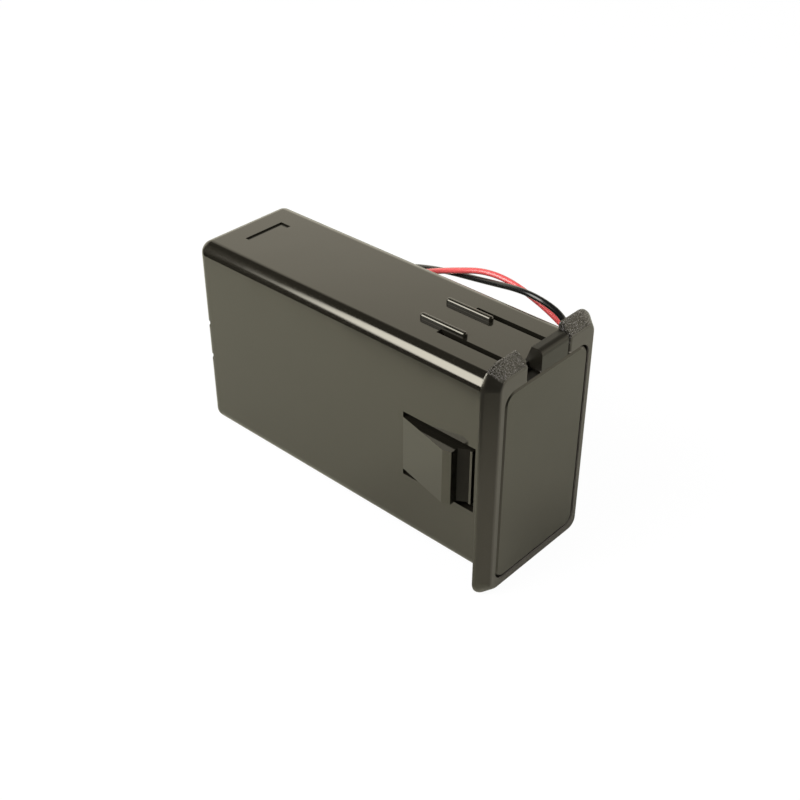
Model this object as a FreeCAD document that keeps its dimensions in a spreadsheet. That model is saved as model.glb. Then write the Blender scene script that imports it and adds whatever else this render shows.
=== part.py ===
import FreeCAD, Part
import math
import os

import Sketcher
from FreeCAD import Placement, Rotation, Vector

# Panel-mount holder for two cells stacked one above the other, with a slide-out drawer.
# Frame: the panel seats on the plane Y = 0, the drawer faces -Y, and +Z is up.
# X = 0, Z = 0 is the middle of the sleeve's section. Lengths are in millimetres.

SIZES = {
    # the cell that both bays fit
    "cellDiameter": 14.5,
    "cellLength": 50.5,
    "cellPlay": 0.15,
    # sleeve
    "wall": 1.2,
    "longEdgeRadius": 2.1,
    "rearEdgeRadius": 1.6,
    "cavityCorner": 0.4,
    "rearWall": 1.5,
    "rearRecess": 2.2,
    "rearRim": 2.0,
    # bezel
    "bezelDepth": 2.3,
    "bezelReachX": 2.6,
    "bezelReachTop": 3.4,
    "bezelReachLow": 3.15,
    "bezelCorner": 3.35,
    "bezelBevel": 1.75,
    "bezelRim": 0.35,
    "bezelEdge": 0.6,
    "bezelApex": 0.8,
    "notchEdge": 0.45,
    # drawer front in the bezel, set in from the sleeve's outside
    "doorInsetX": 0.4,
    "doorInsetTop": 1.27,
    "doorInsetLow": 0.1,
    "mouthLedge": 0.3,
    "doorCorner": 1.85,
    "doorEdge": 0.3,
    "doorGap": 0.3,
    # latch tongue in the top wall, with its finger tab and stiffening ribs
    "tongueHalf": 3.7,
    "tongueSlot": 1.1,
    "tongueLength": 14.75,
    "tabNear": -1.85,
    "tabWidth": 6.25,
    "tabSideGap": 0.5,
    "tabLap": 0.55,
    "tabLean": 0.9,
    "tabHeight": 3.5,
    "tabRound": 1.0,
    "ribSpacing": 6.0,
    "ribWidth": 0.95,
    "ribHeight": 0.8,
    "ribLength": 8.9,
    "ribFront": 10.45,
    # shallow pocket on top near the rear
    "pocketNear": -3.8,
    "pocketWidth": 8.1,
    "pocketLength": 2.3,
    "pocketRear": 5.05,
    "pocketDepth": 0.25,
    # snap tongues in the side walls
    "snapLevel": -0.6,
    "snapWidth": 9.8,
    "snapSideGap": 1.0,
    "snapRoot": 16.55,
    "snapFrontGap": 2.4,
    "snapTipGap": 0.75,
    "snapCrest": 2.3,
    "snapCrestFall": 0.4,
    "snapCrestLength": 1.4,
    "snapGrip": 5.35,
    "snapTailStep": 0.5,
    "snapTailFall": 1.1,
    "snapTailSkin": 0.8,
    "snapLip": 0.4,
    "snapLipWidth": 0.4,
    # drawer tray with its two bays
    "bayWeb": 0.6,
    "trayFloor": 1.1,
    "trayCap": 1.05,
    "trayClearance": 0.3,
    "bulkhead": 0.8,
    "trayLip": 4.0,
    "springPressed": 5.95,
    "trayEndWall": 1.0,
    "trayEndGap": 1.3,
    "windowRadius": 4.6,
    "grooveHeight": 2.8,
    "grooveDepth": 3.3,
    "grooveMargin": 2.2,
    "reliefSkin": 0.4,
    # contacts
    "contactSheet": 0.4,
    "contactHalf": 4.2,
    "contactSplit": 1.0,
    "bossRadius": 2.6,
    "bossHeight": 1.6,
    "bossBevel": 0.6,
    "springWire": 0.5,
    "springBase": 3.05,
    "springFree": 8.0,
    "springTaper": 6.0,
    "springTurns": 3.0,
    "seatPlay": 0.05,
    # rivets, tags and soldered ends behind the rear wall
    "leadLevel": -1.15,
    "rivetPitch": 3.7,
    "rivetRadius": 0.9,
    "rivetBore": 0.5,
    "rivetPlay": 0.05,
    "rivetHead": 1.1,
    "rivetHeadInner": 0.5,
    "rivetHeadOuter": 0.4,
    "tagSheet": 0.3,
    "tagEye": 1.5,
    "tagWidth": 2.7,
    "tagLength": 6.2,
    "solderPlace": 4.5,
    "solderRadius": 1.1,
    "solderTop": 0.5,
    "solderHeight": 1.65,
    "strandRadius": 0.35,
    # leads
    "leadDiameter": 1.0,
    "leadPitch": 6.6,
    "leadStart": 6.4,
    "leadInset": 0.75,
    "redTurn": 13.4,
    "blackTurn": 14.0,
    "notchDepth": 1.3,
    "notchPlay": 0.15,
    "tipLength": 5.0,
}

# Places worked out from the sizes. X, Y and Z in a name say which way the value is measured.
PLACES = {
    "nil": "0",
    "bayRadius": "cellDiameter / 2 + cellPlay",
    "bayZ": "bayRadius + bayWeb / 2",
    "trayX": "bayRadius + trayFloor",
    "trayZ": "bayZ + bayRadius + trayCap",
    "cavityX": "trayX + trayClearance",
    "cavityZ": "trayZ + trayClearance",
    "bodyRightX": "cavityX + wall",
    "bodyTopZ": "cavityZ + wall",
    "bezelFrontY": "0 - bezelDepth",
    "mouthDepth": "bezelDepth - mouthLedge",
    "doorThickness": "mouthDepth - doorGap",
    "doorBackY": "bezelFrontY + doorThickness",
    "bayFrontY": "doorBackY + bulkhead",
    "linkFaceY": "bayFrontY + contactSheet",
    "rearFaceY": "linkFaceY + springPressed + cellLength + bossHeight",
    "cavityEndY": "rearFaceY + contactSheet",
    "cavityDepth": "cavityEndY + bezelDepth",
    "recessFloorY": "cavityEndY + rearWall",
    "bodyLength": "recessFloorY + rearRecess",
    "recessX": "bodyRightX - rearRim",
    "recessZ": "bodyTopZ - rearRim",
    "bezelX": "bodyRightX + bezelReachX",
    "bezelTopZ": "bodyTopZ + bezelReachTop",
    "bezelLowZ": "0 - bodyTopZ - bezelReachLow",
    "bevelDepth": "bezelDepth - bezelRim",
    "aboveZ": "bezelTopZ + bezelDepth",
    "acrossAll": "8 * bodyRightX",
    "doorX": "bodyRightX - doorInsetX",
    "doorTopZ": "bodyTopZ - doorInsetTop",
    "doorLowZ": "doorInsetLow - bodyTopZ",
    "mouthX": "doorX + doorGap",
    "mouthTopZ": "doorTopZ + doorGap",
    "mouthLowZ": "doorLowZ - doorGap",
    "mouthCorner": "doorCorner + doorGap",
    "slotInX": "tongueHalf",
    "slotOutX": "tongueHalf + tongueSlot",
    "tabFarX": "tabNear + tabWidth",
    "notchX": "tabFarX + tabSideGap",
    "tabTopZ": "mouthTopZ + tabHeight",
    "tabCrestY": "tabLap - tabLean",
    "ribInX": "ribSpacing / 2 - ribWidth / 2",
    "ribOutX": "ribSpacing / 2 + ribWidth / 2",
    "ribRearY": "ribFront + ribLength",
    "ribTopZ": "bodyTopZ + ribHeight",
    "ribEnd": "ribWidth * 0.47",
    "ribRound": "ribWidth * 0.4",
    "pocketFarX": "pocketNear + pocketWidth",
    "pocketHighY": "bodyLength - pocketRear",
    "pocketLowY": "pocketHighY - pocketLength",
    "snapHalf": "snapWidth / 2",
    "windowTopZ": "snapLevel + snapHalf + snapSideGap",
    "windowLowZ": "snapLevel - snapHalf - snapSideGap",
    "snapTipY": "snapFrontGap + snapTipGap",
    "snapRampY": "snapGrip + snapCrestLength",
    "snapCrestX": "bodyRightX + snapCrest",
    "snapEdgeX": "snapCrestX - snapCrestFall",
    "snapTailX": "bodyRightX + snapTailStep",
    "snapLipY": "snapTipY + snapLipWidth",
    "snapValleyX": "snapTailX - snapTailFall",
    "snapLipX": "snapValleyX + snapLip",
    "snapTailInX": "snapValleyX - snapTailSkin",
    "trayEndY": "cavityEndY - trayEndGap",
    "bayEndY": "trayEndY - trayEndWall",
    "trayNearX": "0 - trayX",
    "grooveZ": "grooveHeight / 2",
    "grooveFrontY": "bayFrontY + grooveMargin",
    "grooveRearY": "bayEndY - grooveMargin",
    "reliefZ": "snapHalf + doorGap",
    "reliefDepth": "trayFloor - reliefSkin",
    "reliefTopZ": "snapLevel + reliefZ",
    "reliefLowZ": "snapLevel - reliefZ",
    "reliefFrontY": "snapFrontGap - doorGap",
    "reliefRearY": "snapRoot + doorGap",
    "seatX": "contactHalf + seatPlay",
    "seatZ": "bayZ + contactHalf + seatPlay",
    "seatDepth": "contactSheet + seatPlay",
    "linkHalfZ": "bayZ + contactHalf",
    "rivetUpZ": "leadLevel + rivetPitch / 2",
    "rivetLowZ": "leadLevel - rivetPitch / 2",
    "contactLowZ": "leadLevel + contactSplit / 2",
    "contactHighZ": "leadLevel - contactSplit / 2",
    "rivetHoleRadius": "rivetRadius + rivetPlay",
    "rivetInnerY": "rearFaceY - rivetHeadInner",
    "tagFaceY": "recessFloorY + tagSheet",
    "rivetOuterY": "tagFaceY + rivetHeadOuter",
    "leadUpZ": "leadLevel + leadPitch / 2",
    "leadLowZ": "leadLevel - leadPitch / 2",
    "leadRadius": "leadDiameter / 2",
    "leadY": "bodyLength - leadInset",
    "notchHalf": "leadRadius + notchPlay",
    "notchFloorY": "bodyLength - notchDepth",
    "notchBackY": "bodyLength + notchDepth",
    "trayLength": "trayEndY - doorBackY",
    "bayLength": "bayEndY - bayFrontY",
    "rivetGrip": "tagFaceY - rearFaceY",
    "rivetLength": "rivetOuterY - rivetInnerY",
    "tagUpZ": "rivetUpZ + tagWidth",
    "tagLowZ": "rivetLowZ - tagWidth",
    "notchUpHighZ": "leadUpZ + notchHalf",
    "notchUpLowZ": "leadUpZ - notchHalf",
    "notchLowHighZ": "leadLowZ + notchHalf",
    "notchLowLowZ": "leadLowZ - notchHalf",
}

# Routes of the two leads, from the face where the insulation starts beside its tag: out through the
# notch in the far rim, forward in an arc that rises beside the far top edge, down behind the bezel,
# and back along the floor close behind the sleeve. The first two points come from the sizes.
RED_ROUTE = [
    (17.0, 55.4, 4.4), (16.6, 47.2, 7.2), (14.9, 37.6, 11.0),
    (14.2, 28.5, 15.2), (15.0, 19.8, 17.9), (15.2, 10.9, 15.8), (15.0, 3.2, 12.0),
    (15.1, 3.0, 3.6), (15.2, 3.2, -5.6), (15.6, 5.4, -14.2), (16.8, 11.6, -19.69),
    (17.2, 20.4, -19.24), (18.6, 29.6, -18.77), (17.0, 38.8, -18.3), (18.4, 47.8, -17.84),
    (17.2, 56.8, -17.38),
]
BLACK_ROUTE = [
    (17.6, 55.4, -2.4), (17.9, 48.2, 3.2), (17.2, 41.4, 10.1),
    (16.3, 32.5, 13.1), (14.5, 21.6, 15.7), (12.0, 10.1, 19.0), (13.2, 3.2, 15.9),
    (13.5, 2.4, 5.2), (13.5, 2.6, -4.0), (13.6, 4.6, -13.0), (14.4, 10.6, -19.74),
    (14.8, 19.4, -19.29), (13.8, 28.6, -18.82), (15.2, 37.8, -18.35), (14.2, 46.6, -17.9),
    (15.0, 51.2, -17.67),
]
ARC_SHARE = 0.45  # of the shorter run beside a turn
LEAD_SIDES = 6
SPRING_SIDES = 5

doc = FreeCAD.newDocument("battery_holder")


def make_sheet():
    cells = doc.addObject("Spreadsheet::Sheet", "Sizes")
    rows = [(name, str(number)) for name, number in SIZES.items()]
    rows += [(name, "=" + formula) for name, formula in PLACES.items()]
    for row, (name, content) in enumerate(rows, start=1):
        cells.set(f"A{row}", name)
        cells.set(f"B{row}", content)
        cells.setAlias(f"B{row}", name)
    doc.recompute()
    return cells


sheet = make_sheet()


def num(name):
    """The present value of a cell, with an optional minus sign before its name."""
    if name.startswith("-"):
        return -float(getattr(sheet, name[1:]))
    return float(getattr(sheet, name))


def ref(name):
    """The same cell as a formula that another object can be bound to."""
    return "-Sizes." + name[1:] if name.startswith("-") else "Sizes." + name


def make_body(name):
    body = doc.addObject("PartDesign::Body", name)
    body.Label = name
    return body


def make_sketch(body, name, role, offset="nil"):
    """A sketch on one of the body's own planes, moved along its normal by a cell."""
    plane = next(item for item in body.Origin.OriginFeatures if item.Role == role)
    sketch = body.newObject("Sketcher::SketchObject", name)
    sketch.AttachmentSupport = [(plane, "")]
    sketch.MapMode = "FlatFace"
    sketch.setExpression("AttachmentOffset.Base.z", ref(offset))
    return sketch


def pin_point(sketch, edge, vertex, x_cell, y_cell):
    for kind, name in (("DistanceX", x_cell), ("DistanceY", y_cell)):
        rule = sketch.addConstraint(Sketcher.Constraint(kind, -1, 1, edge, vertex, num(name)))
        sketch.setExpression(f"Constraints[{rule}]", ref(name))


def add_polygon(sketch, corners):
    """A closed outline whose corners are pairs of cells, one for each axis of the sketch."""
    first = sketch.GeometryCount
    points = [Vector(num(x_cell), num(y_cell), 0) for x_cell, y_cell in corners]
    for start, end in zip(points, points[1:] + points[:1]):
        sketch.addGeometry(Part.LineSegment(start, end), False)
    for index, (x_cell, y_cell) in enumerate(corners):
        following = first + (index + 1) % len(corners)
        sketch.addConstraint(Sketcher.Constraint("Coincident", first + index, 2, following, 1))
        pin_point(sketch, first + index, 1, x_cell, y_cell)


def add_rectangle(sketch, left, right, low, high):
    add_polygon(sketch, [(left, low), (right, low), (right, high), (left, high)])


def add_circle(sketch, x_cell, y_cell, radius):
    centre = Vector(num(x_cell), num(y_cell), 0)
    edge = sketch.addGeometry(Part.Circle(centre, Vector(0, 0, 1), num(radius)), False)
    pin_point(sketch, edge, 3, x_cell, y_cell)
    rule = sketch.addConstraint(Sketcher.Constraint("Radius", edge, num(radius)))
    sketch.setExpression(f"Constraints[{rule}]", ref(radius))


def extrude(body, kind, sketch, length, reverse=False, both=False):
    """A Pad or a Pocket of a sketch. A pocket that leaves the volume as it was is an error."""
    before = body.Tip.Shape.Volume if body.Tip else 0.0
    feature = body.newObject("PartDesign::" + kind, kind + sketch.Name)
    feature.Profile = sketch
    feature.setExpression("Length", ref(length))
    feature.Reversed = reverse
    feature.Midplane = both
    sketch.Visibility = False
    doc.recompute()
    if abs(feature.Shape.Volume - before) < 1e-6:
        raise RuntimeError(feature.Name + " changes nothing")
    return feature


def pad(body, sketch, length, **options):
    return extrude(body, "Pad", sketch, length, **options)


def pocket(body, sketch, length, **options):
    return extrude(body, "Pocket", sketch, length, **options)


def round_edges(body, name, radius, chosen, kind="Fillet"):
    """Rounds, or chamfers, the edges of the body so far that pass the test `chosen`."""
    base = body.Tip
    names = [f"Edge{i}" for i, edge in enumerate(base.Shape.Edges, start=1) if chosen(edge)]
    if not names:
        raise RuntimeError(name + " finds no edge")
    feature = body.newObject("PartDesign::" + kind, name)
    feature.Base = (base, names)
    feature.setExpression("Radius" if kind == "Fillet" else "Size", ref(radius))
    doc.recompute()
    return feature


def near(a, b):
    return abs(a - b) < 1e-4


def is_along(edge, axis):
    """True for a straight edge along "x", "y" or "z"."""
    if not isinstance(edge.Curve, Part.Line):
        return False
    return near(abs(getattr(edge.Curve.Direction, axis)), 1.0)


def lies_in(edge, axis, level):
    """True for an edge that stays in the plane where `axis` has the given value."""
    box = edge.BoundBox
    low, high = getattr(box, axis + "Min"), getattr(box, axis + "Max")
    return near(low, level) and near(high, level)


def spans(edge, axis, low, high):
    box = edge.BoundBox
    return near(getattr(box, axis + "Min"), low) and near(getattr(box, axis + "Max"), high)


def make_housing():
    """Sleeve, bezel, latch tongue and both snap tongues: one moulding."""
    body = make_body("housing")
    add_sleeve(body)
    add_bezel(body)
    cut_inside(body)
    add_latch_tongue(body)
    add_snap_tongues(body)
    cut_rear_details(body)
    return body


def add_sleeve(body):
    outline = make_sketch(body, "SleeveOutline", "XZ_Plane")
    add_rectangle(outline, "-bodyRightX", "bodyRightX", "-bodyTopZ", "bodyTopZ")
    pad(body, outline, "bodyLength", reverse=True)
    round_edges(body, "LongEdges", "longEdgeRadius", lambda edge: is_along(edge, "y"))
    round_edges(body, "RearEdges", "rearEdgeRadius", lambda edge: lies_in(edge, "Y", num("bodyLength")))


def add_bezel(body):
    outline = make_sketch(body, "BezelOutline", "XZ_Plane")
    add_rectangle(outline, "-bezelX", "bezelX", "bezelLowZ", "bezelTopZ")
    pad(body, outline, "bezelDepth")
    round_edges(body, "BezelCorners", "bezelCorner", lambda edge: is_along(edge, "y")
                and spans(edge, "Y", num("bezelFrontY"), 0.0))
    bevel = round_edges(body, "BezelBevel", "bevelDepth",
                        lambda edge: lies_in(edge, "Y", num("bezelFrontY")), kind="Chamfer")
    bevel.ChamferType = "Two distances"
    bevel.setExpression("Size2", ref("bezelBevel"))
    bevel.FlipDirection = False
    doc.recompute()
    round_edges(body, "BezelFrontEdge", "bezelEdge",
                lambda edge: lies_in(edge, "Y", num("bezelFrontY")))
    round_edges(body, "BezelApex", "bezelApex", lambda edge: lies_in(edge, "Y", num("-bezelRim")))


def cut_inside(body):
    """The sleeve's cavity, the mouth that the drawer front closes, and the notch for the tab."""
    cavity = make_sketch(body, "Cavity", "XZ_Plane", "bezelDepth")
    add_rectangle(cavity, "-cavityX", "cavityX", "-cavityZ", "cavityZ")
    pocket(body, cavity, "cavityDepth")
    round_edges(body, "CavityCorners", "cavityCorner",
                lambda edge: is_along(edge, "y") and near(edge.BoundBox.YMax, num("cavityEndY")))
    mouth = make_sketch(body, "Mouth", "XZ_Plane", "bezelDepth")
    add_rectangle(mouth, "-mouthX", "mouthX", "mouthLowZ", "mouthTopZ")
    pocket(body, mouth, "mouthDepth")
    floor = num("bezelFrontY") + num("mouthDepth")
    round_edges(body, "MouthCorners", "mouthCorner", lambda edge: is_along(edge, "y")
                and spans(edge, "Y", num("bezelFrontY"), floor)
                and near(abs(edge.BoundBox.XMax), num("mouthX")))
    notch = make_sketch(body, "TabNotch", "XZ_Plane", "bezelDepth")
    add_rectangle(notch, "-notchX", "notchX", "mouthTopZ", "aboveZ")
    pocket(body, notch, "bezelDepth")
    round_edges(body, "NotchEnds", "notchEdge", lambda edge: not lies_in(edge, "Y", 0.0)
                and (lies_in(edge, "X", num("notchX")) or lies_in(edge, "X", num("-notchX")))
                and edge.BoundBox.ZMax > num("bodyTopZ"))


def add_latch_tongue(body):
    """Two slots free the tongue, which runs through the notch and ends in the finger tab."""
    slots = make_sketch(body, "TongueSlots", "XY_Plane", "bodyTopZ")
    for inner, outer in (("slotInX", "slotOutX"), ("-slotOutX", "-slotInX")):
        add_rectangle(slots, inner, outer, "nil", "tongueLength")
    pocket(body, slots, "wall")
    tab = make_sketch(body, "Tab", "YZ_Plane", "tabNear")
    add_polygon(tab, [("bezelFrontY", "mouthTopZ"), ("tabLap", "mouthTopZ"), ("tabLap", "bodyTopZ"),
                      ("tabCrestY", "tabTopZ"), ("bezelFrontY", "tabTopZ")])
    pad(body, tab, "tabWidth")
    round_edges(body, "TabRound", "tabRound", lambda edge: is_along(edge, "x")
                and lies_in(edge, "Z", num("tabTopZ")) and lies_in(edge, "Y", num("bezelFrontY")))
    ribs = make_sketch(body, "Ribs", "XY_Plane", "bodyTopZ")
    for inner, outer in (("ribInX", "ribOutX"), ("-ribOutX", "-ribInX")):
        add_rectangle(ribs, inner, outer, "ribFront", "ribRearY")
    pad(body, ribs, "ribHeight")
    round_edges(body, "RibEnds", "ribEnd", lambda edge: is_along(edge, "z")
                and spans(edge, "Z", num("bodyTopZ"), num("ribTopZ")))
    round_edges(body, "RibRounds", "ribRound", lambda edge: lies_in(edge, "Z", num("ribTopZ")))


def add_snap_tongues(body):
    """A window in each side wall holds a wedge that springs in and grips the panel's back."""
    window = make_sketch(body, "SnapWindows", "YZ_Plane")
    add_rectangle(window, "snapFrontGap", "snapRoot", "windowLowZ", "windowTopZ")
    pocket(body, window, "acrossAll", both=True)
    wedge = make_sketch(body, "SnapWedge", "XY_Plane", "snapLevel")
    add_polygon(wedge, [("bodyRightX", "snapRoot"), ("snapCrestX", "snapRampY"),
                        ("snapEdgeX", "snapGrip"), ("snapTailX", "snapGrip"),
                        ("snapValleyX", "snapLipY"), ("snapLipX", "snapLipY"),
                        ("snapLipX", "snapTipY"), ("snapTailInX", "snapTipY"),
                        ("snapTailInX", "snapGrip"), ("cavityX", "snapRoot")])
    right = pad(body, wedge, "snapWidth", both=True)
    mirror = body.newObject("PartDesign::Mirrored", "SnapMirror")
    plane = next(item for item in body.Origin.OriginFeatures if item.Role == "YZ_Plane")
    mirror.Originals = [right]
    mirror.MirrorPlane = (plane, [""])
    body.Tip = mirror
    doc.recompute()


def cut_rear_details(body):
    """Recess for the terminals, holes for the rivets, notches for the leads, and the top pocket."""
    recess = make_sketch(body, "RearRecess", "XZ_Plane", "-bodyLength")
    add_rectangle(recess, "-recessX", "recessX", "-recessZ", "recessZ")
    pocket(body, recess, "rearRecess", reverse=True)
    holes = make_sketch(body, "RivetHoles", "XZ_Plane", "-recessFloorY")
    for level in ("rivetUpZ", "rivetLowZ"):
        add_circle(holes, "nil", level, "rivetHoleRadius")
    pocket(body, holes, "rearWall", reverse=True)
    notches = make_sketch(body, "LeadNotches", "YZ_Plane")
    for high, low in (("notchUpHighZ", "notchUpLowZ"), ("notchLowHighZ", "notchLowLowZ")):
        add_rectangle(notches, "notchFloorY", "notchBackY", low, high)
    pocket(body, notches, "acrossAll", both=True)
    shallow = make_sketch(body, "TopPocket", "XY_Plane", "bodyTopZ")
    add_rectangle(shallow, "pocketNear", "pocketFarX", "pocketLowY", "pocketHighY")
    pocket(body, shallow, "pocketDepth")


def make_drawer():
    """Drawer front and tray: one moulding with two cell bays open to the far side."""
    body = make_body("drawer")
    front = make_sketch(body, "DoorOutline", "XZ_Plane", "bezelDepth")
    add_rectangle(front, "-doorX", "doorX", "doorLowZ", "doorTopZ")
    pad(body, front, "doorThickness", reverse=True)
    round_edges(body, "DoorCorners", "doorCorner", lambda edge: is_along(edge, "y"))
    round_edges(body, "DoorEdge", "doorEdge", lambda edge: lies_in(edge, "Y", num("bezelFrontY")),
                kind="Chamfer")
    block = make_sketch(body, "TrayBlock", "XZ_Plane", "-doorBackY")
    add_rectangle(block, "trayNearX", "trayLip", "-trayZ", "trayZ")
    pad(body, block, "trayLength", reverse=True)
    bays = make_sketch(body, "Bays", "XZ_Plane", "-bayFrontY")
    for level in ("bayZ", "-bayZ"):
        add_circle(bays, "nil", level, "bayRadius")
    pocket(body, bays, "bayLength")
    windows = make_sketch(body, "ContactWindows", "XZ_Plane", "-bayEndY")
    for level in ("bayZ", "-bayZ"):
        add_circle(windows, "nil", level, "windowRadius")
    pocket(body, windows, "trayEndWall")
    seat = make_sketch(body, "LinkSeat", "XZ_Plane", "-bayFrontY")
    add_rectangle(seat, "-seatX", "trayLip", "-seatZ", "seatZ")
    pocket(body, seat, "seatDepth")
    groove = make_sketch(body, "WebGroove", "YZ_Plane", "trayNearX")
    add_rectangle(groove, "grooveFrontY", "grooveRearY", "-grooveZ", "grooveZ")
    pocket(body, groove, "grooveDepth", reverse=True)
    relief = make_sketch(body, "SnapRelief", "YZ_Plane", "trayNearX")
    add_rectangle(relief, "reliefFrontY", "reliefRearY", "reliefLowZ", "reliefTopZ")
    pocket(body, relief, "reliefDepth", reverse=True)
    return body


def add_boss(body, level, face, reverse):
    """A round pressed boss with a bevelled rim, which a cell's nub or case touches."""
    outline = make_sketch(body, "BossOutline", "XZ_Plane", face)
    add_circle(outline, "nil", level, "bossRadius")
    boss = pad(body, outline, "bossHeight", reverse=reverse)
    tip = boss.Shape.BoundBox.YMax if reverse else boss.Shape.BoundBox.YMin
    round_edges(body, "BossRim", "bossBevel", lambda edge: lies_in(edge, "Y", tip), kind="Chamfer")


def make_link_plate():
    """Strip behind the drawer front that joins the two cells in series."""
    body = make_body("link_plate")
    strip = make_sketch(body, "LinkStrip", "XZ_Plane", "-bayFrontY")
    add_rectangle(strip, "-contactHalf", "trayLip", "-linkHalfZ", "linkHalfZ")
    pad(body, strip, "contactSheet", reverse=True)
    add_boss(body, "-bayZ", "-linkFaceY", True)
    return body


def make_rear_plate(name, low, high, rivet):
    """Contact plate against the inside of the rear wall, held by one hollow rivet."""
    body = make_body(name)
    strip = make_sketch(body, "Plate", "XZ_Plane", "-cavityEndY")
    add_rectangle(strip, "-contactHalf", "contactHalf", low, high)
    add_circle(strip, "nil", rivet, "rivetHoleRadius")
    pad(body, strip, "contactSheet")
    return body


def make_positive_contact():
    body = make_rear_plate("positive_contact", "contactLowZ", "linkHalfZ", "rivetUpZ")
    add_boss(body, "bayZ", "-rearFaceY", False)
    return body


def round_section(radius, centre, heading, sides):
    """A regular polygon of the same area as a circle: a plain tube with few faces."""
    step = 2 * math.pi / sides
    reach = radius * math.sqrt(step / math.sin(step))
    turn = Rotation(Vector(0, 0, 1), heading)
    corners = [Vector(reach * math.cos(i * step), reach * math.sin(i * step), 0) for i in range(sides)]
    return Part.makePolygon([centre + turn.multVec(corner) for corner in corners + corners[:1]])


def make_spring(name, level, face, towards):
    """Tapered coil whose first turn stands on a contact plate. `towards` is +1 or -1 along Y."""
    wire = num("springWire")
    rise = num("springFree") - wire
    pitch = rise / num("springTurns")
    path = Part.makeHelix(pitch, rise, num("springBase"), -num("springTaper"))
    start = path.Edges[0].valueAt(path.Edges[0].FirstParameter)
    heading = path.Edges[0].tangentAt(path.Edges[0].FirstParameter)
    section = round_section(wire / 2, start, heading, SPRING_SIDES)
    coil = Part.Wire(path).makePipeShell([section], True, True)
    spring = doc.addObject("Part::Feature", name)
    spring.Label = name
    spring.Shape = coil
    turn = Rotation(Vector(1, 0, 0), -90 * towards)
    spring.Placement = Placement(Vector(0, num(face) + towards * wire / 2, num(level)), turn)
    return spring


def make_rivet(name, level):
    """Hollow rivet through a contact plate, the rear wall and a solder tag."""
    body = make_body(name)
    stages = (("Head", "-rivetInnerY", "rivetHead", "rivetHeadInner"),
              ("Shank", "-rearFaceY", "rivetRadius", "rivetGrip"),
              ("Rolled", "-tagFaceY", "rivetHead", "rivetHeadOuter"))
    for stage, start, radius, length in stages:
        disc = make_sketch(body, stage, "XZ_Plane", start)
        add_circle(disc, "nil", level, radius)
        pad(body, disc, length, reverse=True)
    bore = make_sketch(body, "Bore", "XZ_Plane", "-rivetInnerY")
    add_circle(bore, "nil", level, "rivetBore")
    pocket(body, bore, "rivetLength")
    return body


def make_tag(name, low, high, rivet):
    """Solder tag under the rivet's rolled end, with a tail that points at the far rim."""
    body = make_body(name)
    blank = make_sketch(body, "Eye", "XZ_Plane", "-recessFloorY")
    add_circle(blank, "nil", rivet, "tagEye")
    pad(body, blank, "tagSheet", reverse=True)
    tail = make_sketch(body, "Tail", "XZ_Plane", "-recessFloorY")
    add_rectangle(tail, "nil", "tagLength", low, high)
    pad(body, tail, "tagSheet", reverse=True)
    hole = make_sketch(body, "Hole", "XZ_Plane", "-recessFloorY")
    add_circle(hole, "nil", rivet, "rivetHoleRadius")
    pocket(body, hole, "tagSheet")
    return body


def make_joint(name, level):
    """A cone of solder on the tag, and the bare strands that run from it to the insulation."""
    base = Vector(num("solderPlace"), num("tagFaceY"), num(level))
    cone = Part.makeCone(num("solderRadius"), num("solderTop"), num("solderHeight"), base, Vector(0, 1, 0))
    strands_start = Vector(num("solderPlace"), num("leadY"), num(level))
    reach = num("leadStart") - num("solderPlace")
    strands = Part.makeCylinder(num("strandRadius"), reach, strands_start, Vector(1, 0, 0))
    joint = doc.addObject("Part::Feature", name)
    joint.Label = name
    joint.Shape = cone.fuse(strands).removeSplitter()
    return joint


def round_route(points):
    """Straight runs joined by tangent arcs. Returns the wire, its length and its arc radii."""
    edges, radii, start = [], [], points[0]
    for before, corner, after in zip(points, points[1:], points[2:]):
        inward, outward = (corner - before), (after - corner)
        half_turn = inward.getAngle(outward) / 2
        cut = ARC_SHARE * min(inward.Length, outward.Length)
        inward.normalize()
        outward.normalize()
        arc_start, arc_end = corner - inward * cut, corner + outward * cut
        radius = cut / math.tan(half_turn)
        middle_way = (outward - inward).normalize()
        middle = corner + middle_way * (radius / math.cos(half_turn) - radius)
        edges.append(Part.LineSegment(start, arc_start).toShape())
        edges.append(Part.Arc(arc_start, middle, arc_end).toShape())
        radii.append(radius)
        start = arc_end
    edges.append(Part.LineSegment(start, points[-1]).toShape())
    return Part.Wire(edges), radii


def make_lead(name, level, turn, route):
    """One insulated lead and its stripped, tinned end, both swept along the same route."""
    first = Vector(num("leadStart"), num("leadY"), num(level))
    points = [first, Vector(num(turn), num("leadY"), num(level))] + [Vector(*place) for place in route]
    path, radii = round_route(points)
    radius = num("leadRadius")
    along = (points[1] - points[0]).normalize()
    section = round_section(radius, first, along, LEAD_SIDES)
    tube = path.makePipeShell([section], True, False)
    expected = math.pi * radius ** 2 * path.Length
    turns = [math.degrees((b - a).getAngle(c - b)) for a, b, c in zip(points, points[1:], points[2:])]
    runs = [(b - a).Length for a, b in zip(points, points[1:])]
    print(name, "length", round(path.Length, 2), "volume ratio", round(tube.Volume / expected, 4))
    print("  radii", [round(item, 1) for item in radii], "turns", [round(item) for item in turns])
    print("  runs", [round(item, 1) for item in runs])
    lead = doc.addObject("Part::Feature", name)
    lead.Label = name
    lead.Shape = tube
    out = (points[-1] - points[-2]).normalize()
    tip = doc.addObject("Part::Cylinder", name + "_tip")
    tip.Label = name + "_tip"
    tip.setExpression("Radius", ref("strandRadius"))
    tip.setExpression("Height", ref("tipLength"))
    tip.Placement = Placement(points[-1], Rotation(Vector(0, 0, 1), out))
    return [lead, tip]


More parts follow.
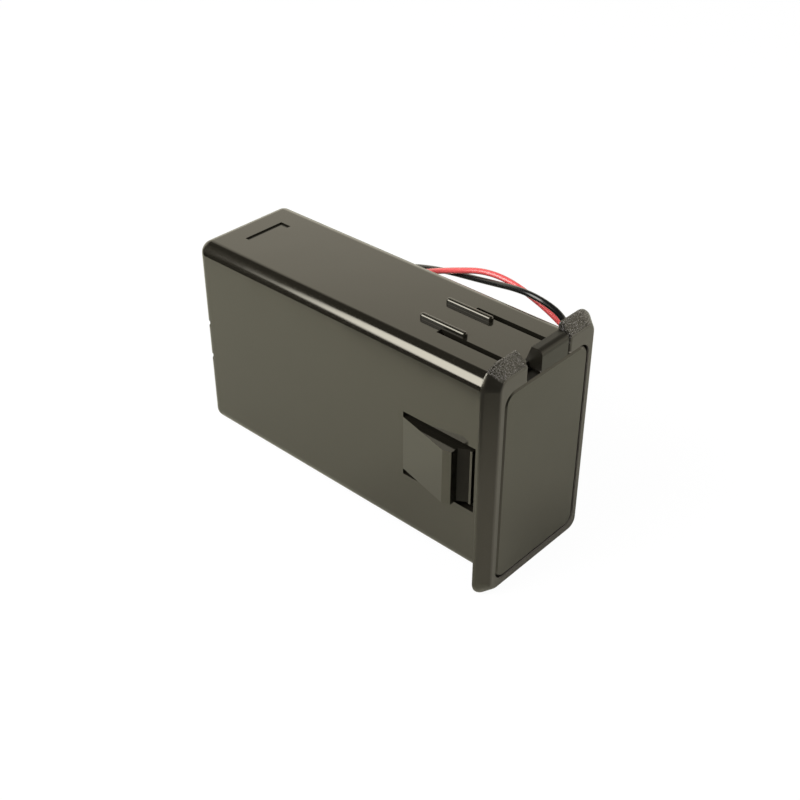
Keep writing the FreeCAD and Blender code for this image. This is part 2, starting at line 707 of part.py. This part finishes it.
def main():
    pieces = [
        make_housing(),
        make_drawer(),
        make_link_plate(),
        make_spring("link_spring", "bayZ", "linkFaceY", 1),
        make_positive_contact(),
        make_rear_plate("negative_plate", "-linkHalfZ", "contactHighZ", "rivetLowZ"),
        make_spring("negative_spring", "-bayZ", "rearFaceY", -1),
        make_rivet("positive_rivet", "rivetUpZ"),
        make_rivet("negative_rivet", "rivetLowZ"),
        make_tag("positive_tag", "rivetUpZ", "tagUpZ", "rivetUpZ"),
        make_tag("negative_tag", "tagLowZ", "rivetLowZ", "rivetLowZ"),
        make_joint("red_joint", "leadUpZ"),
        make_joint("black_joint", "leadLowZ"),
    ]
    pieces += make_lead("red_lead", "leadUpZ", "redTurn", RED_ROUTE)
    pieces += make_lead("black_lead", "leadLowZ", "blackTurn", BLACK_ROUTE)
    doc.recompute()
    check_document(pieces)
    os.makedirs("parts", exist_ok=True)
    for piece in pieces:
        piece.Shape.exportStep(os.path.join("parts", piece.Label + ".step"))
        box = piece.Shape.BoundBox
        size = (box.XLength, box.YLength, box.ZLength)
        print(piece.Label, [round(length, 2) for length in size])


def check_document(pieces):
    for item in doc.Objects:
        if "Invalid" in item.State or "Error" in item.State:
            raise RuntimeError(f"{item.Name} failed: {item.State}")
    for piece in pieces:
        if piece.Shape.isNull() or not piece.Shape.isValid() or len(piece.Shape.Solids) != 1:
            raise RuntimeError(f"{piece.Label} isn't one valid solid")


main()
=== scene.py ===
import bpy
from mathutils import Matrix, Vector


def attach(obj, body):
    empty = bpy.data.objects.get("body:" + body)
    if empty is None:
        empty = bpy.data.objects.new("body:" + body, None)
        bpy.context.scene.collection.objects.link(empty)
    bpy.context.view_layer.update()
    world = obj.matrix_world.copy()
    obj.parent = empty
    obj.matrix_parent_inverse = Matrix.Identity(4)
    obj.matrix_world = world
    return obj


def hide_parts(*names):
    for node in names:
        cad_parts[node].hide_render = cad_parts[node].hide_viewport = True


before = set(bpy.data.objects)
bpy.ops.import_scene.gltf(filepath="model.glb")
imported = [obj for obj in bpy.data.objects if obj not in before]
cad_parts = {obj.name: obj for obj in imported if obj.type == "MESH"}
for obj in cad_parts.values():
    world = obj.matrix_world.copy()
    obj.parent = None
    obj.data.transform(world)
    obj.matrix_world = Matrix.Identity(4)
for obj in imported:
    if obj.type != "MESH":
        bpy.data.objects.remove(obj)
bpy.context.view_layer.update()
scene = bpy.context.scene
scene.view_settings.view_transform = "Standard"
mm = 0.001  # lengths are written in millimetres, noise scales per metre


# puts a camera or a lamp at a place and turns it along a direction
def aim(piece, place, direction):
    piece.location = Vector(place) * mm
    piece.rotation_mode = "QUATERNION"
    piece.rotation_quaternion = Vector(direction).to_track_quat("-Z", "Y")
    scene.collection.objects.link(piece)


# camera, at the photograph's viewing angle
camera = {
    "place": (-122.68, -86.11, 112.59), "look": (0.6066, 0.5561, -0.5681),
    "lens": 55.8, "sensor": 36.0, "clip": (5.0, 20000.0),
}

cameraData = bpy.data.cameras.new("camera")
cameraData.lens = camera["lens"]
cameraData.sensor_width = camera["sensor"]
cameraData.clip_start = camera["clip"][0] * mm
cameraData.clip_end = camera["clip"][1] * mm
cameraObject = bpy.data.objects.new("camera", cameraData)
aim(cameraObject, camera["place"], camera["look"])
scene.camera = cameraObject
print("camera placed")


# node helpers: an input is a plain value or the output of another node
def addNode(tree, kind, inputs=None, **settings):
    node = tree.nodes.new(kind)
    for name, value in settings.items():
        setattr(node, name, value)
    for name, value in (inputs or {}).items():
        if hasattr(value, "is_output"):
            tree.links.new(value, node.inputs[name])
        else:
            node.inputs[name].default_value = value
    return node


def addMath(tree, operation, first, second=0.0, clamp=False):
    inputs = {0: first, 1: second}
    return addNode(tree, "ShaderNodeMath", inputs, operation=operation, use_clamp=clamp).outputs[0]


def addProduct(tree, first, *others):
    for other in others:
        first = addMath(tree, "MULTIPLY", first, other)
    return first


def addRest(tree, share):
    return addMath(tree, "SUBTRACT", 1.0, share)


# a smooth step between two values
def addRamp(tree, value, start, end, before=0.0, after=1.0):
    inputs = {"Value": value, "From Min": start, "From Max": end, "To Min": before, "To Max": after}
    ramp = addNode(tree, "ShaderNodeMapRange", inputs, interpolation_type="SMOOTHSTEP")
    return ramp.outputs["Result"]


# the same between two places
def addSpan(tree, place, start, end, before=0.0, after=1.0):
    return addRamp(tree, place, start * mm, end * mm, before, after)


def addNoise(tree, place, scale, detail, distortion=0.0):
    inputs = {"Vector": place, "Scale": scale, "Detail": detail, "Distortion": distortion}
    return addNode(tree, "ShaderNodeTexNoise", inputs).outputs["Fac"]


def addMix(tree, share, first, second):
    inputs = {"Factor": share, "A": first, "B": second}
    return addNode(tree, "ShaderNodeMix", inputs, data_type="RGBA").outputs["Result"]


def addScaled(tree, colour, share):
    scaled = addNode(tree, "ShaderNodeVectorMath", {0: colour, "Scale": share}, operation="SCALE")
    return scaled.outputs["Vector"]


def addBump(tree, height, depth, **inputs):
    inputs.update({"Height": height, "Distance": depth * mm})
    return addNode(tree, "ShaderNodeBump", inputs).outputs["Normal"]


def addObjectPlace(tree):
    return addNode(tree, "ShaderNodeTexCoord").outputs["Object"]


def addSplit(tree, place):
    return addNode(tree, "ShaderNodeSeparateXYZ", {"Vector": place}).outputs


# 1 inside a box, 0 outside it, with a soft margin
def addBoxMask(tree, spots, low, high, margin):
    ramps = []
    for axis, start, end in zip("XYZ", low, high):
        ramps.append(addSpan(tree, spots[axis], start - margin, start))
        ramps.append(addSpan(tree, spots[axis], end, end + margin, 1.0, 0.0))
    return addProduct(tree, *ramps)


# a group that puts out a colour, a roughness and a height
def newSurfaceGroup(name, **inputs):
    tree = bpy.data.node_groups.new(name, "ShaderNodeTree")
    for socketName, value in inputs.items():
        kind = "NodeSocketColor" if isinstance(value, tuple) else "NodeSocketFloat"
        socket = tree.interface.new_socket(socketName, in_out="INPUT", socket_type=kind)
        socket.default_value = value
    tree.interface.new_socket("Colour", in_out="OUTPUT", socket_type="NodeSocketColor")
    tree.interface.new_socket("Roughness", in_out="OUTPUT", socket_type="NodeSocketFloat")
    tree.interface.new_socket("Height", in_out="OUTPUT", socket_type="NodeSocketFloat")
    return tree, tree.nodes.new("NodeGroupInput").outputs


def closeGroup(tree, colour, roughness, height):
    out = tree.nodes.new("NodeGroupOutput").inputs
    tree.links.new(colour, out["Colour"])
    tree.links.new(roughness, out["Roughness"])
    tree.links.new(height, out["Height"])
    return tree


def placeGroup(tree, group, **inputs):
    return addNode(tree, "ShaderNodeGroup", inputs, node_tree=group).outputs


def shaderOf(tree):
    return tree.nodes["Principled BSDF"]


def newMaterial(name, **sockets):
    material = bpy.data.materials.new(name)
    material.use_nodes = True
    for socketName, value in sockets.items():
        socket = shaderOf(material.node_tree).inputs[socketName.replace("_", " ")]
        socket.default_value = value
    return material, material.node_tree


def linkSurface(tree, colour, roughness, normal):
    inputs = shaderOf(tree).inputs
    tree.links.new(colour, inputs["Base Color"])
    tree.links.new(roughness, inputs["Roughness"])
    tree.links.new(normal, inputs["Normal"])


# moulded skin: slow colour drift, faint flow waves and fine surface haze
mouldedLook = {
    "driftScale": 45.0, "driftDetail": 2.0,
    "hazeScale": 160.0, "hazeDetail": 5.0, "hazeSmear": 0.6, "hazeGain": 2.0,
    "fineScale": 1400.0, "fineDetail": 4.0, "fineShare": 0.02,
}


def makeMouldedSkin():
    look = mouldedLook
    tree, given = newSurfaceGroup("mouldedSkin", Colour=(0.02, 0.02, 0.02, 1), Drift=0.1,
                                  Roughness=0.2, Haze=0.04, Wave=0.3)
    place = addObjectPlace(tree)
    slow = addNoise(tree, place, look["driftScale"], look["driftDetail"])
    fine = addNoise(tree, place, look["fineScale"], look["fineDetail"])
    smear = addNoise(tree, place, look["hazeScale"], look["hazeDetail"], look["hazeSmear"])
    # noise lies around a half, so taking that off makes it a change both ways
    drift = addProduct(tree, addMath(tree, "SUBTRACT", slow, 0.5), given["Drift"])
    colour = addScaled(tree, given["Colour"], addMath(tree, "ADD", drift, 1.0))
    haze = addProduct(tree, addMath(tree, "SUBTRACT", smear, 0.5), given["Haze"], look["hazeGain"])
    rough = addMath(tree, "ADD", given["Roughness"], haze)
    height = addMath(tree, "ADD", addProduct(tree, slow, given["Wave"]),
                     addProduct(tree, fine, look["fineShare"]))
    return closeGroup(tree, colour, rough, height)


# worn metal: plating that clouds, and fine scratches
metalLook = {
    "cloudScale": 500.0, "cloudDetail": 4.0, "cloudRange": (0.45, 0.75), "cloudRoughness": 0.15,
    "scratchStretch": (300.0, 6000.0, 2500.0), "scratchDetail": 3.0, "scratchDepth": 0.02,
}


def makeWornMetal():
    look = metalLook
    tree, given = newSurfaceGroup("wornMetal", Colour=(0.6, 0.6, 0.6, 1), Dull=(0.4, 0.4, 0.38, 1),
                                  Roughness=0.25, Scratch=0.3)
    place = addObjectPlace(tree)
    cloud = addNoise(tree, place, look["cloudScale"], look["cloudDetail"])
    inputs = {"Vector": place, "Scale": look["scratchStretch"]}
    stretched = addNode(tree, "ShaderNodeMapping", inputs).outputs["Vector"]
    scratch = addNoise(tree, stretched, 1.0, look["scratchDetail"])
    colour = addMix(tree, addRamp(tree, cloud, *look["cloudRange"]), given["Colour"], given["Dull"])
    clouded = addProduct(tree, cloud, look["cloudRoughness"])
    rough = addMath(tree, "ADD", given["Roughness"], clouded)
    return closeGroup(tree, colour, rough, addProduct(tree, scratch, given["Scratch"]))


mouldedSkin = makeMouldedSkin()
wornMetal = makeWornMetal()


# housing and drawer plastic: the sleeve is glossy, the flange and the drawer front are satin
plastic = {
    "colour": (0.008, 0.0072, 0.0052, 1), "index": 1.6, "tint": (1.0, 0.96, 0.84, 1),
    "drift": 0.25, "haze": 0.05, "wave": 1.0, "waveDepth": 0.05,
    "sleeveRoughness": 0.12, "satinRoughness": 0.3, "satinFrom": (0.07, 0.02),
}

# spark-eroded grain on the two upper pieces of the flange. It begins at a height that rises
# towards the corners, and leaves out the flat rim in front and the tab.
grain = {
    "scale": 7000.0, "detail": 1.0, "pits": (0.4, 0.62), "depth": 0.09, "roughness": 0.26,
    "specks": (0.54, 0.68), "speckTone": (0.13, 0.121, 0.117, 1),
    "from": (17.6, 18.2), "corner": (9.2, 12.2), "cornerRise": 2.9,
    "behindRim": (-2.25, -2.1), "tab": ((-1.9, -9.0, 16.6), (4.5, 0.7, 30.0), 0.03),
}

# paler front of the flange: its flat rim, and painted light on the wall of the mouth round the
# drawer front, which lightens the shade in the gap there
flangeFront = {
    "rimTone": (0.02, 0.0176, 0.0162, 1), "gapLightTone": (0.12, 0.108, 0.094, 1),
    "edge": ((-10.1, -2.28, -18.1), (10.1, -2.04, 16.9), 0.02),
}

# painted shade: places that shine less, so that their reflections darken where shade falls at the
# tab, the rib sides, the snap tails and the pocket: low corner, high corner, soft margin and the
# share of gloss that is left
paintedShadePlaces = {
    "tab": ((-1.8, -9.0, 16.6), (4.9, 0.7, 30.0), 0.08, 0.36),
    "tabTop": ((-1.8, -1.9, 20.0), (4.9, 0.7, 30.0), 0.15, 0.5),
    "tabEnd": ((-1.95, -9.0, 16.6), (-1.8, 0.7, 30.0), 0.04, 0.15),
    "ribSides": ((-5.0, 9.5, 17.7), (5.0, 20.0, 18.2), 0.04, 0.12),
    "nearSnapTail": ((-10.7, 3.65, -6.0), (-8.0, 5.34, 4.8), 0.1, 0.08),
    "farSnapTail": ((8.0, 3.65, -6.0), (10.7, 5.34, 4.8), 0.1, 0.08),
    "pocketRear": ((-3.8, 57.2, 17.3), (4.3, 57.7, 17.55), 0.05, 0.1),
    "pocketSide": ((3.75, 55.4, 17.3), (4.3, 57.7, 17.55), 0.05, 0.1),
}


def newPlastic(name):
    return newMaterial(name, IOR=plastic["index"], Specular_Tint=plastic["tint"])


def addPlasticSkin(tree, roughness):
    skin = placeGroup(tree, mouldedSkin, Colour=plastic["colour"], Drift=plastic["drift"],
                      Roughness=roughness, Haze=plastic["haze"], Wave=plastic["wave"])
    return skin, addBump(tree, skin["Height"], plastic["waveDepth"])


def makeDrawerPlastic():
    material, tree = newPlastic("drawerPlastic")
    skin, normal = addPlasticSkin(tree, plastic["satinRoughness"])
    linkSurface(tree, skin["Colour"], skin["Roughness"], normal)
    return material


def makeHousingPlastic():
    material, tree = newPlastic("housingPlastic")
    place = addObjectPlace(tree)
    spots = addSplit(tree, place)
    onFlange = addSpan(tree, spots["Y"], *plastic["satinFrom"])
    satin = addProduct(tree, onFlange, plastic["satinRoughness"] - plastic["sleeveRoughness"])
    skin, smooth = addPlasticSkin(tree, addMath(tree, "ADD", satin, plastic["sleeveRoughness"]))

    # where the grain is
    aside = addMath(tree, "ABSOLUTE", spots["X"])
    rise = addSpan(tree, aside, *grain["corner"], 0.0, grain["cornerRise"] * mm)
    onTop = addSpan(tree, addMath(tree, "SUBTRACT", spots["Z"], rise), *grain["from"])
    behindRim = addSpan(tree, spots["Y"], *grain["behindRim"])
    offTab = addRest(tree, addBoxMask(tree, spots, *grain["tab"]))
    grained = addProduct(tree, onTop, behindRim, onFlange, offTab)

    noise = addNoise(tree, place, grain["scale"], grain["detail"])
    pits = addProduct(tree, addRamp(tree, noise, *grain["pits"]), grained)
    specks = addProduct(tree, addRamp(tree, noise, *grain["specks"]), grained)
    change = addProduct(tree, grained, grain["roughness"] - plastic["satinRoughness"])
    rough = addMath(tree, "ADD", skin["Roughness"], change)
    normal = addBump(tree, pits, grain["depth"], Normal=smooth)

    onRim = addProduct(tree, addRest(tree, behindRim), offTab)
    colour = addMix(tree, onRim, skin["Colour"], flangeFront["rimTone"])
    # painted light on the mouth wall inside the gap round the drawer front
    onGapWall = addBoxMask(tree, spots, *flangeFront["edge"])
    colour = addMix(tree, onGapWall, colour, flangeFront["gapLightTone"])
    colour = addMix(tree, specks, colour, grain["speckTone"])
    linkSurface(tree, colour, rough, normal)

    # painted shade: the gloss is cut down in each of these boxes, which darkens what they reflect
    gloss = 1.0
    for low, high, margin, share in paintedShadePlaces.values():
        mask = addBoxMask(tree, spots, low, high, margin)
        gloss = addProduct(tree, gloss, addRamp(tree, mask, 0.0, 1.0, 1.0, share))
    tint = addScaled(tree, plastic["tint"][:3], gloss)
    tree.links.new(tint, shaderOf(tree).inputs["Specular Tint"])
    return material


# metals, and the pieces that are made of them
metals = {
    "nickel": {
        "colour": (0.66, 0.64, 0.58, 1), "dull": (0.5, 0.48, 0.43, 1), "roughness": 0.22,
        "scratch": 0.5, "pieces": ("link_plate", "positive_contact", "negative_plate"),
    },
    "springSteel": {
        "colour": (0.62, 0.61, 0.58, 1), "dull": (0.45, 0.44, 0.41, 1), "roughness": 0.16,
        "scratch": 0.2, "pieces": ("link_spring", "negative_spring"),
    },
    "rivetBrass": {
        "colour": (0.72, 0.53, 0.23, 1), "dull": (0.5, 0.36, 0.17, 1), "roughness": 0.3,
        "scratch": 0.3, "pieces": ("positive_rivet", "negative_rivet"),
    },
    "tinned": {
        "colour": (0.66, 0.66, 0.65, 1), "dull": (0.5, 0.5, 0.49, 1), "roughness": 0.34,
        "scratch": 0.5,
        "pieces": ("positive_tag", "negative_tag", "red_lead_tip", "black_lead_tip"),
    },
    "solder": {
        "colour": (0.62, 0.62, 0.61, 1), "dull": (0.47, 0.47, 0.46, 1), "roughness": 0.2,
        "scratch": 0.1, "pieces": ("red_joint", "black_joint"),
    },
}


def makeMetal(name, metal):
    material, tree = newMaterial(name, Metallic=1.0)
    skin = placeGroup(tree, wornMetal, Colour=metal["colour"], Dull=metal["dull"],
                      Roughness=metal["roughness"], Scratch=metal["scratch"])
    normal = addBump(tree, skin["Height"], metalLook["scratchDepth"])
    linkSurface(tree, skin["Colour"], skin["Roughness"], normal)
    return material


def dress(nodeName, material):
    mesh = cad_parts[nodeName].data
    mesh.materials.clear()
    mesh.materials.append(material)


dress("housing", makeHousingPlastic())
dress("drawer", makeDrawerPlastic())
for metalName, metalValues in metals.items():
    finish = makeMetal(metalName, metalValues)
    for nodeName in metalValues["pieces"]:
        dress(nodeName, finish)
print("materials made")


# leads: the routes are those of the solids, point for point
leads = {
    "diameter": 1.0, "roundSteps": 5, "routeSteps": 16,
    "drift": 0.3, "haze": 0.06, "wave": 0.4, "waveDepth": 0.03,
    "red": {
        "length": 148.8,
        "vinyl": (0.5, 0.07, 0.07, 1), "roughness": 0.26, "index": 1.5,
        "route": [
            (6.4, 62.0, 2.15), (13.4, 62.0, 2.15), (17.0, 55.4, 4.4), (16.6, 47.2, 7.2),
            (14.9, 37.6, 11.0), (14.2, 28.5, 15.2), (15.0, 19.8, 17.9), (15.2, 10.9, 15.8),
            (15.0, 3.2, 12.0), (15.1, 3.0, 3.6), (15.2, 3.2, -5.6), (15.6, 5.4, -14.2),
            (16.8, 11.6, -19.69), (17.2, 20.4, -19.24), (18.6, 29.6, -18.77), (17.0, 38.8, -18.3),
            (18.4, 47.8, -17.84), (17.2, 56.8, -17.38),
        ],
    },
    "black": {
        "length": 151.1,
        "vinyl": (0.006, 0.006, 0.006, 1), "roughness": 0.2, "index": 1.44,
        "route": [
            (6.4, 62.0, -4.45), (14.0, 62.0, -4.45), (17.6, 55.4, -2.4), (17.9, 48.2, 3.2),
            (17.2, 41.4, 10.1), (16.3, 32.5, 13.1), (14.5, 21.6, 15.7), (12.0, 10.1, 19.0),
            (13.2, 3.2, 15.9), (13.5, 2.4, 5.2), (13.5, 2.6, -4.0), (13.6, 4.6, -13.0),
            (14.4, 10.6, -19.74), (14.8, 19.4, -19.29), (13.8, 28.6, -18.82), (15.2, 37.8, -18.35),
            (14.2, 46.6, -17.9), (15.0, 51.2, -17.67),
        ],
    },
}


def makeVinyl(name, lead):
    material, tree = newMaterial(name, IOR=lead["index"])
    skin = placeGroup(tree, mouldedSkin, Colour=lead["vinyl"], Drift=leads["drift"],
                      Roughness=lead["roughness"], Haze=leads["haze"], Wave=leads["wave"])
    normal = addBump(tree, skin["Height"], leads["waveDepth"])
    linkSurface(tree, skin["Colour"], skin["Roughness"], normal)
    return material


def makeLead(colour):
    lead = leads[colour]
    curve = bpy.data.curves.new(colour + "Lead", "CURVE")
    curve.dimensions = "3D"
    curve.bevel_depth = leads["diameter"] / 2 * mm
    curve.bevel_resolution = leads["roundSteps"]
    curve.resolution_u = leads["routeSteps"]
    curve.use_fill_caps = True
    spline = curve.splines.new("NURBS")
    spline.points.add(len(lead["route"]) - 1)
    for point, place in zip(spline.points, lead["route"]):
        point.co = (*(Vector(place) * mm), 1.0)
    spline.order_u = 3  # a smooth bend at every inner point
    spline.use_endpoint_u = True
    piece = bpy.data.objects.new(colour + "Lead", curve)
    scene.collection.objects.link(piece)
    curve.materials.append(makeVinyl(colour + "Vinyl", lead))
    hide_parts(colour + "_lead")
    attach(piece, "holder")


makeLead("red")
makeLead("black")
print("leads made")


def addPlane(name, corners, material):
    mesh = bpy.data.meshes.new(name)
    places = [Vector(corner) * mm for corner in corners]
    mesh.from_pydata(places, [], [tuple(range(len(places)))])
    mesh.materials.append(material)
    plane = bpy.data.objects.new(name, mesh)
    scene.collection.objects.link(plane)
    return plane


# what the camera sees, by itself or through something clear
def addSeen(tree, rays):
    return addMath(tree, "ADD", rays["Is Camera Ray"], rays["Is Transmission Ray"], clamp=True)


def linkGlow(tree, colour, strength):
    glow = addNode(tree, "ShaderNodeEmission", {"Color": colour, "Strength": strength})
    tree.links.new(glow.outputs[0], tree.nodes["Material Output"].inputs["Surface"])


# studio table, white to the camera, along the line that the part rests on. In the part's gloss it
# is greyer, with a painted shadow that makes it darkest beside the part.
table = {
    "rest": -20.8, "slope": 0.0513, "half": 1500.0, "roughness": 0.6,
    "white": (0.9, 0.9, 0.9, 1), "seenGlow": 0.96,
    "glossTone": (0.56, 0.548, 0.44, 1), "besideShadowTone": (0.46, 0.447, 0.36, 1),
    "inFront": ((-13, -10, -100), (8, 0, 100), 16),
    "atLeft": ((-19, 2, -100), (-9, 22, 100), 16),
}


# a place on the table, or a little above it
def onTable(x, y, above=0.0):
    return (x, y, table["rest"] + table["slope"] * y + above)


def makeTable():
    material, tree = newMaterial("whiteTable", Roughness=table["roughness"])
    shader = shaderOf(tree)
    rays = addNode(tree, "ShaderNodeLightPath").outputs
    spots = addSplit(tree, addNode(tree, "ShaderNodeNewGeometry").outputs["Position"])
    # painted shadow in the table's gloss, in front of the part and at its left
    beside = addMath(tree, "MAXIMUM", addBoxMask(tree, spots, *table["inFront"]),
                     addBoxMask(tree, spots, *table["atLeft"]))
    inGloss = addMix(tree, beside, table["glossTone"], table["besideShadowTone"])
    tone = addMix(tree, rays["Is Glossy Ray"], table["white"], inGloss)
    tree.links.new(tone, shader.inputs["Base Color"])
    share = addProduct(tree, addSeen(tree, rays), table["seenGlow"])
    glow = addNode(tree, "ShaderNodeEmission", {"Color": (1, 1, 1, 1), "Strength": 1.0})
    inputs = {0: share, 1: shader.outputs[0], 2: glow.outputs[0]}
    mix = addNode(tree, "ShaderNodeMixShader", inputs)
    tree.links.new(mix.outputs[0], tree.nodes["Material Output"].inputs["Surface"])
    half = table["half"]
    corners = [(-half, -half), (half, -half), (half, half), (-half, half)]
    addPlane("floor", [onTable(*corner) for corner in corners], material)


# room around the table, white to the camera. In gloss its wall is pale up to about the height of
# the lamps, and the ceiling is dark. Each band goes from one height to the next (0 is level, 1 is
# straight up), with the strength at both.
room = {
    "ambient": 0.5, "tone": (1.0, 0.945, 0.8, 1),
    "bands": [(0.12, 0.42, 1.5, 1.0), (0.42, 0.56, 1.28, 1.04), (0.585, 0.67, 1.0, 0.03)],
}


def makeRoom():
    world = bpy.data.worlds.new("studio")
    scene.world = world
    world.use_nodes = True
    tree = world.node_tree
    rays = addNode(tree, "ShaderNodeLightPath").outputs
    seen = addSeen(tree, rays)
    glossy = rays["Is Glossy Ray"]
    diffuse = addRest(tree, addMath(tree, "ADD", seen, glossy, clamp=True))
    height = addSplit(tree, addNode(tree, "ShaderNodeTexCoord").outputs["Generated"])["Z"]
    bands = [addRamp(tree, height, *band) for band in room["bands"]]
    plain = addMath(tree, "ADD", seen, addProduct(tree, diffuse, room["ambient"]))
    strength = addMath(tree, "ADD", addProduct(tree, glossy, *bands), plain)
    tone = addMix(tree, glossy, (1, 1, 1, 1), room["tone"])
    background = tree.nodes["Background"]
    tree.links.new(tone, background.inputs["Color"])
    tree.links.new(strength, background.inputs["Strength"])


# lamps, hidden in gloss
lamps = {
    "aim": (0, 30, 0),
    "keyLamp": {"place": (-360, 160, 330), "size": 300, "power": 4.2},
    "frontLamp": {"place": (160, -360, 300), "size": 360, "power": 1.6},
}


def makeLamp(name):
    place = lamps[name]["place"]
    light = bpy.data.lights.new(name, "AREA")
    light.shape = "SQUARE"
    light.size = lamps[name]["size"] * mm
    light.energy = lamps[name]["power"]
    lamp = bpy.data.objects.new(name, light)
    lamp.visible_glossy = False
    aim(lamp, place, Vector(lamps["aim"]) - Vector(place))


# a card shows only in the gloss
def makeCard(name, corners, material):
    card = addPlane(name, corners, material)
    card.visible_camera = False
    card.visible_diffuse = False
    card.visible_shadow = False
    card.visible_transmission = False


# softbox at the left. Its light falls off at its foot, at its top and at its far edge, which
# leans back, and leans more below leanFrom.
softbox = {
    "wall": -400.0, "near": 120.0, "far": 385.0, "farSoft": 60.0,
    "lean": 0.36, "leanFrom": 156.0, "lowLean": 0.5,
    "foot": (-32.0, 38.0), "top": (500.0, 860.0),
    "tone": (1, 0.985, 0.94, 1), "strength": 11.0,
}


def makeSoftbox():
    box = softbox
    wall, near, bottom, top = box["wall"], box["near"], box["foot"][0], box["top"][1]
    material, tree = newMaterial("softboxSilk")
    spots = addSplit(tree, addNode(tree, "ShaderNodeNewGeometry").outputs["Position"])
    below = addMath(tree, "SUBTRACT", spots["Z"], box["leanFrom"] * mm)
    below = addMath(tree, "MINIMUM", below, 0.0)
    slant = addMath(tree, "ADD", addProduct(tree, spots["Z"], box["lean"]),
                    addProduct(tree, below, box["lowLean"]))
    straight = addMath(tree, "SUBTRACT", spots["Y"], slant)
    edge = box["far"] - box["lean"] * box["leanFrom"]
    far = addSpan(tree, straight, edge - box["farSoft"], edge + box["farSoft"], 1.0, 0.0)
    foot = addSpan(tree, spots["Z"], *box["foot"])
    head = addSpan(tree, spots["Z"], *box["top"], 1.0, 0.0)
    linkGlow(tree, box["tone"], addProduct(tree, far, foot, head, box["strength"]))
    # the card reaches to where the light at its far edge has faded
    faded = edge + box["farSoft"]
    makeCard("softbox", [(wall, near, bottom), (wall, faded + box["lean"] * bottom, bottom),
                         (wall, faded + box["lean"] * top, top), (wall, near, top)], material)


# corners of a card that lies over the table, from one corner to the opposite one
def lying(near, far, above):
    plan = (near, (near[0], far[1]), far, (far[0], near[1]))
    return [onTable(x, y, above) for x, y in plan]


# corners of an upright card, from one end of its lower edge to the other
def standing(start, end, low, high):
    return [(*start, low), (*end, low), (*end, high), (*start, high)]


# flags and cloths: how much each cloth glows, and the cards cut from them
cloths = {"blackCloth": 0.0, "greyCloth": 0.14, "tableShade": 0.78}
flags = {
    "tableFlag": ("blackCloth", lying((-49, -60), (-1400, 700), 0.5)),
    "rearFlag": ("greyCloth", standing((-430, 60), (-430, 1500), -20, 1100)),
    # painted shade: this card and the next stand in for the shaded table in front of the part and
    # at its left, black further out and dimmer close to it, seen only in gloss
    "frontTableShade": ("blackCloth", lying((-14, -500), (-500, -4), 0.2)),
    "nearTableShade": ("tableShade", lying((-14, -60), (-72, -4), 0.4)),
    "cameraFlag": ("blackCloth", standing((30, -230), (-230, -40), -15, 320)),
}


def makeCloth(name, glow):
    material, tree = newMaterial(name)
    linkGlow(tree, room["tone"], glow)
    return material


makeTable()
makeRoom()
makeLamp("keyLamp")
makeLamp("frontLamp")
makeSoftbox()
clothMaterials = {name: makeCloth(name, glow) for name, glow in cloths.items()}
for flagName, (clothName, flagCorners) in flags.items():
    makeCard(flagName, flagCorners, clothMaterials[clothName])
print("studio made")
